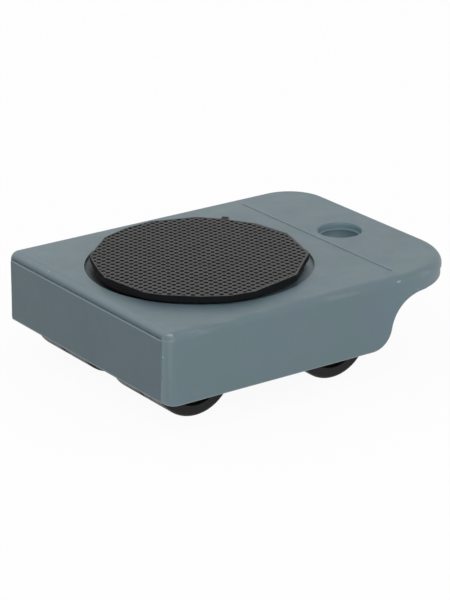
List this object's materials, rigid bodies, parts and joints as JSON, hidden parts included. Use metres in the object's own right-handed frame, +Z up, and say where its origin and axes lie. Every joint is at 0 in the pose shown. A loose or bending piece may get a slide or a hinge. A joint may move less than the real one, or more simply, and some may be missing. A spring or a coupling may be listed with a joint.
{
  "type": "moving dolly",
  "caption": "Low plastic moving dolly with wheels in a box-shaped housing, a round turning rubber grip pad on its deck and a flat pull handle with a tow hole.",
  "frame": {"origin": "on the floor, under the middle of the housing's length and width", "axes": "+X from the front face to the handle, +Y across to the left, +Z up"},
  "size_m": [0.0999, 0.0806, 0.0308],
  "materials": {
    "housing": "satin",
    "disc": "matte",
    "pad": "textured",
    "wheel": "satin",
    "steel": "satin"
  },
  "bodies": {
    "base": {"housing": "housing", "front_axle": "steel", "rear_axle": "steel", "keeper_screws": "steel", "front_left_keeper": "steel", "front_centre_keeper": "steel", "front_right_keeper": "steel", "rear_left_keeper": "steel", "rear_centre_keeper": "steel", "rear_right_keeper": "steel"},
    "turntable": {"turntable_disc": "disc", "grip_pad": "pad", "pivot_washer": "steel", "pivot_screw": "steel"},
    "wheel_front_left_outer": {"wheel_front_left_outer": "wheel"},
    "wheel_front_left_inner": {"wheel_front_left_inner": "wheel"},
    "wheel_front_right_inner": {"wheel_front_right_inner": "wheel"},
    "wheel_front_right_outer": {"wheel_front_right_outer": "wheel"},
    "wheel_rear_left_outer": {"wheel_rear_left_outer": "wheel"},
    "wheel_rear_left_inner": {"wheel_rear_left_inner": "wheel"},
    "wheel_rear_right_inner": {"wheel_rear_right_inner": "wheel"},
    "wheel_rear_right_outer": {"wheel_rear_right_outer": "wheel"}
  },
  "joints": [
    {"name": "turntable_spin", "type": "hinge", "parent": "base", "child": "turntable", "pos_m": [-0.0131, 0, 0.0284], "axis": [0, 0, 1], "continuous": true},
    {"name": "wheel_front_left_outer_spin", "type": "hinge", "parent": "base", "child": "wheel_front_left_outer", "pos_m": [-0.0355, 0.02525, 0.012], "axis": [0, 1, 0], "continuous": true},
    {"name": "wheel_front_left_inner_spin", "type": "hinge", "parent": "base", "child": "wheel_front_left_inner", "pos_m": [-0.0355, 0.01275, 0.012], "axis": [0, 1, 0], "continuous": true},
    {"name": "wheel_front_right_inner_spin", "type": "hinge", "parent": "base", "child": "wheel_front_right_inner", "pos_m": [-0.0355, -0.01275, 0.012], "axis": [0, 1, 0], "continuous": true},
    {"name": "wheel_front_right_outer_spin", "type": "hinge", "parent": "base", "child": "wheel_front_right_outer", "pos_m": [-0.0355, -0.02525, 0.012], "axis": [0, 1, 0], "continuous": true},
    {"name": "wheel_rear_left_outer_spin", "type": "hinge", "parent": "base", "child": "wheel_rear_left_outer", "pos_m": [0.0093, 0.02525, 0.012], "axis": [0, 1, 0], "continuous": true},
    {"name": "wheel_rear_left_inner_spin", "type": "hinge", "parent": "base", "child": "wheel_rear_left_inner", "pos_m": [0.0093, 0.01275, 0.012], "axis": [0, 1, 0], "continuous": true},
    {"name": "wheel_rear_right_inner_spin", "type": "hinge", "parent": "base", "child": "wheel_rear_right_inner", "pos_m": [0.0093, -0.01275, 0.012], "axis": [0, 1, 0], "continuous": true},
    {"name": "wheel_rear_right_outer_spin", "type": "hinge", "parent": "base", "child": "wheel_rear_right_outer", "pos_m": [0.0093, -0.02525, 0.012], "axis": [0, 1, 0], "continuous": true}
  ]
}
